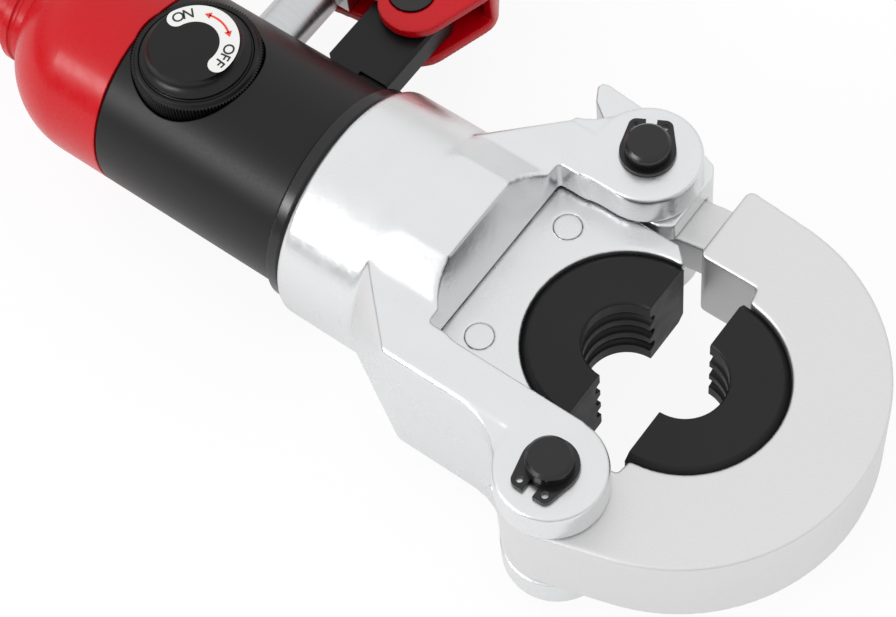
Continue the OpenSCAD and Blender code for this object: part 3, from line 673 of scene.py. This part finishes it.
class CRIMPER_OT_handles(bpy.types.Operator):
    """Paint the housing, the yoke and the tubes red and finish the rubber grips"""
    bl_idname = "crimper.handles"
    bl_label = "Handles"

    def execute(self, context):
        paint = red_paint()
        dress(paint, "reservoir_housing", "handle_tube", "lever_yoke", "lever_tube")
        casting("lever_yoke", "yoke_pressing", paint, "lever",
                voxel=0.5, passes=8, faces=80000)
        dress(grip_rubber(), "handle_grip", "lever_grip")
        return {"FINISHED"}


class CRIMPER_OT_knob(bpy.types.Operator):
    """Finish the release knob and print its label, letters and arrow"""
    bl_idname = "crimper.knob"
    bl_label = "Knob"

    def execute(self, context):
        dress(knob_plastic(), "release_knob")
        size = sizes()
        along = (size.label_in + size.label_out) / 2
        half = (size.label_out - size.label_in) / 2
        cap = CAP_LIFT * size.label_height
        ink = PRINT_LIFT * size.label_height
        label = join([arc_band(size.label_in, size.label_out, LABEL_FIRST, LABEL_LAST,
                               size.label_height),
                      disc(half, LABEL_FIRST, along, cap), disc(half, LABEL_LAST, along, cap)])
        seat(label, "knob_label", printed_ink("white_ink", tuple(colours().label)), "knob")
        words = join([letter(text, angle, ink) for text, angle in WORD_ON + WORD_OFF])
        seat(words, "knob_words", printed_ink("black_ink", linear("#1A1A1A")), "knob")
        line = size.arrow_width / 2
        arrow = join([arc_band(along - line, along + line, ARROW_FIRST + LINE_INSET,
                               ARROW_LAST - LINE_INSET, ink),
                      arrow_tip(ARROW_FIRST + HEAD_INSET, along, ink, -1),
                      arrow_tip(ARROW_LAST - HEAD_INSET, along, ink, 1)])
        seat(arrow, "knob_arrow", printed_ink("red_ink", tuple(colours().arrow)), "knob")
        return {"FINISHED"}


class CRIMPER_OT_stage(bpy.types.Operator):
    """Lay the pale floor, set the world and the lamps, and place the camera"""
    bl_idname = "crimper.stage"
    bl_label = "Studio"

    def execute(self, context):
        self.floor()
        self.world()
        for lamp in LAMPS:
            self.lamp(*lamp)
        self.camera()
        return {"FINISHED"}

    def floor(self):
        only_nothing()
        bpy.ops.mesh.primitive_plane_add(size=sizes().floor_size,
                                         location=(0, 0, CAD_BOX[0][2] - FLOOR_GAP))
        obj = bpy.context.object
        obj.name = "floor"
        material, tree, shader, place = start("pale_floor")
        tooth = grain(tree, place, 60, detail=2)
        tone = tuple(colours().floor)
        tree.links.new(mix_colours(tree, tooth, shade(tone, 0.985), tone),
                       shader.inputs["Base Color"])
        shader.inputs["Roughness"].default_value = 0.9
        shader.inputs["Specular IOR Level"].default_value = 0.1
        # Seen directly or in gloss, the floor is in part a white studio sheet
        path = add(tree, "ShaderNodeLightPath")
        seen = add(tree, "ShaderNodeMath", operation="MAXIMUM",
                   links={0: path.outputs["Is Glossy Ray"],
                          1: path.outputs["Is Transmission Ray"]})
        direct = add(tree, "ShaderNodeMath", operation="MULTIPLY", values={1: WHITE_SHARE},
                     links={0: path.outputs["Is Camera Ray"]})
        share = add(tree, "ShaderNodeMapRange", values={"To Min": 0.0, "To Max": GLOSS_SHARE},
                    links={"Value": seen.outputs["Value"]})
        share = add(tree, "ShaderNodeMath", operation="MAXIMUM",
                    links={0: share.outputs["Result"], 1: direct.outputs["Value"]})
        sheet = add(tree, "ShaderNodeEmission", values={"Strength": 1.0})
        both = add(tree, "ShaderNodeMixShader", links={0: share.outputs["Value"],
                                                       1: shader.outputs["BSDF"],
                                                       2: sheet.outputs["Emission"]})
        output = next(n for n in tree.nodes if n.type == "OUTPUT_MATERIAL")
        tree.links.new(both.outputs["Shader"], output.inputs["Surface"])
        obj.data.materials.append(material)

    def world(self):
        world = bpy.data.worlds.new("studio")
        bpy.context.scene.world = world
        world.use_nodes = True
        tree = world.node_tree
        tree.nodes.clear()
        place = add(tree, "ShaderNodeTexCoord").outputs["Generated"]
        height = add(tree, "ShaderNodeSeparateXYZ", links={"Vector": place}).outputs["Z"]
        side = add(tree, "ShaderNodeSeparateXYZ", links={"Vector": place}).outputs["Y"]
        # A dark band lies low on the camera's side, and the far wall is pale
        band = spread(tree, side, HORIZON_NEAR, HORIZON_FAR, from_low=-0.5, from_high=0.5)
        fade = add(tree, "ShaderNodeMapRange", values={"From Min": BAND_LOW,
                                                       "From Max": BAND_HIGH, "To Max": 1.0},
                   links={"Value": height, "To Min": band},
                   interpolation_type="SMOOTHSTEP").outputs["Result"]
        tint = add(tree, "ShaderNodeCombineColor",
                   links={"Red": fade, "Green": fade, "Blue": fade}).outputs["Color"]
        glow = add(tree, "ShaderNodeBackground", values={"Strength": WORLD_STRENGTH},
                   links={"Color": tint})
        add(tree, "ShaderNodeOutputWorld", links={"Surface": glow.outputs["Background"]})

    def lamp(self, name, place, aim, width, height, power):
        data = bpy.data.lights.new(name, "AREA")
        data.shape = "RECTANGLE"
        data.size = width
        data.size_y = height
        data.energy = power
        obj = bpy.data.objects.new(name, data)
        bpy.context.scene.collection.objects.link(obj)
        obj.location = place
        obj.rotation_euler = (Vector(aim) - Vector(place)).to_track_quat("-Z", "Y").to_euler()

    def camera(self):
        data = bpy.data.cameras.new("camera")
        data.lens = CAMERA_LENS
        data.sensor_width = SENSOR_WIDTH
        data.clip_start = 0.01
        obj = bpy.data.objects.new("camera", data)
        bpy.context.scene.collection.objects.link(obj)
        turn, rise, roll = (math.radians(angle) for angle
                            in (CAMERA_AZIMUTH, CAMERA_ELEVATION, CAMERA_ROLL))
        right = Vector((math.cos(turn), math.sin(turn), 0))
        back = Vector((math.sin(turn) * math.cos(rise), -math.cos(turn) * math.cos(rise),
                       math.sin(rise)))
        up = back.cross(right)
        right, up = (math.cos(roll) * right + math.sin(roll) * up,
                     math.cos(roll) * up - math.sin(roll) * right)
        place = Vector(CAMERA_TARGET) + back * CAMERA_DISTANCE
        matrix = Matrix((right, up, back)).transposed().to_4x4()
        matrix.translation = place
        obj.matrix_world = matrix
        bpy.context.scene.camera = obj


class CRIMPER_PT_panel(bpy.types.Panel):
    """Lists the tool's steps, sizes and colours"""
    bl_label = "Crimping Tool"
    bl_idname = "CRIMPER_PT_panel"
    bl_space_type = "VIEW_3D"
    bl_region_type = "UI"
    bl_category = "Crimping Tool"

    def draw(self, context):
        for operator in OPERATORS:
            self.layout.operator(operator.bl_idname)
        for group in (context.scene.crimper_sizes, context.scene.crimper_colours):
            box = self.layout.box()
            for name in group.__annotations__:
                box.prop(group, name)


OPERATORS = (CRIMPER_OT_head, CRIMPER_OT_dies, CRIMPER_OT_pins, CRIMPER_OT_pump,
             CRIMPER_OT_handles, CRIMPER_OT_knob, CRIMPER_OT_stage)
CLASSES = (CrimperColours, CrimperSizes) + OPERATORS + (CRIMPER_PT_panel,)


def register():
    for cls in CLASSES:
        bpy.utils.register_class(cls)
    bpy.types.Scene.crimper_colours = PointerProperty(type=CrimperColours)
    bpy.types.Scene.crimper_sizes = PointerProperty(type=CrimperSizes)


def unregister():
    del bpy.types.Scene.crimper_sizes
    del bpy.types.Scene.crimper_colours
    for cls in reversed(CLASSES):
        bpy.utils.unregister_class(cls)


def main():
    """Builds the whole scene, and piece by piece."""
    register()
    bpy.context.scene.view_settings.view_transform = "Standard"
    bpy.ops.crimper.head()
    bpy.ops.crimper.dies()
    bpy.ops.crimper.pins()
    bpy.ops.crimper.pump()
    bpy.ops.crimper.handles()
    bpy.ops.crimper.knob()
    bpy.ops.crimper.stage()


if __name__ == "__main__":
    main()
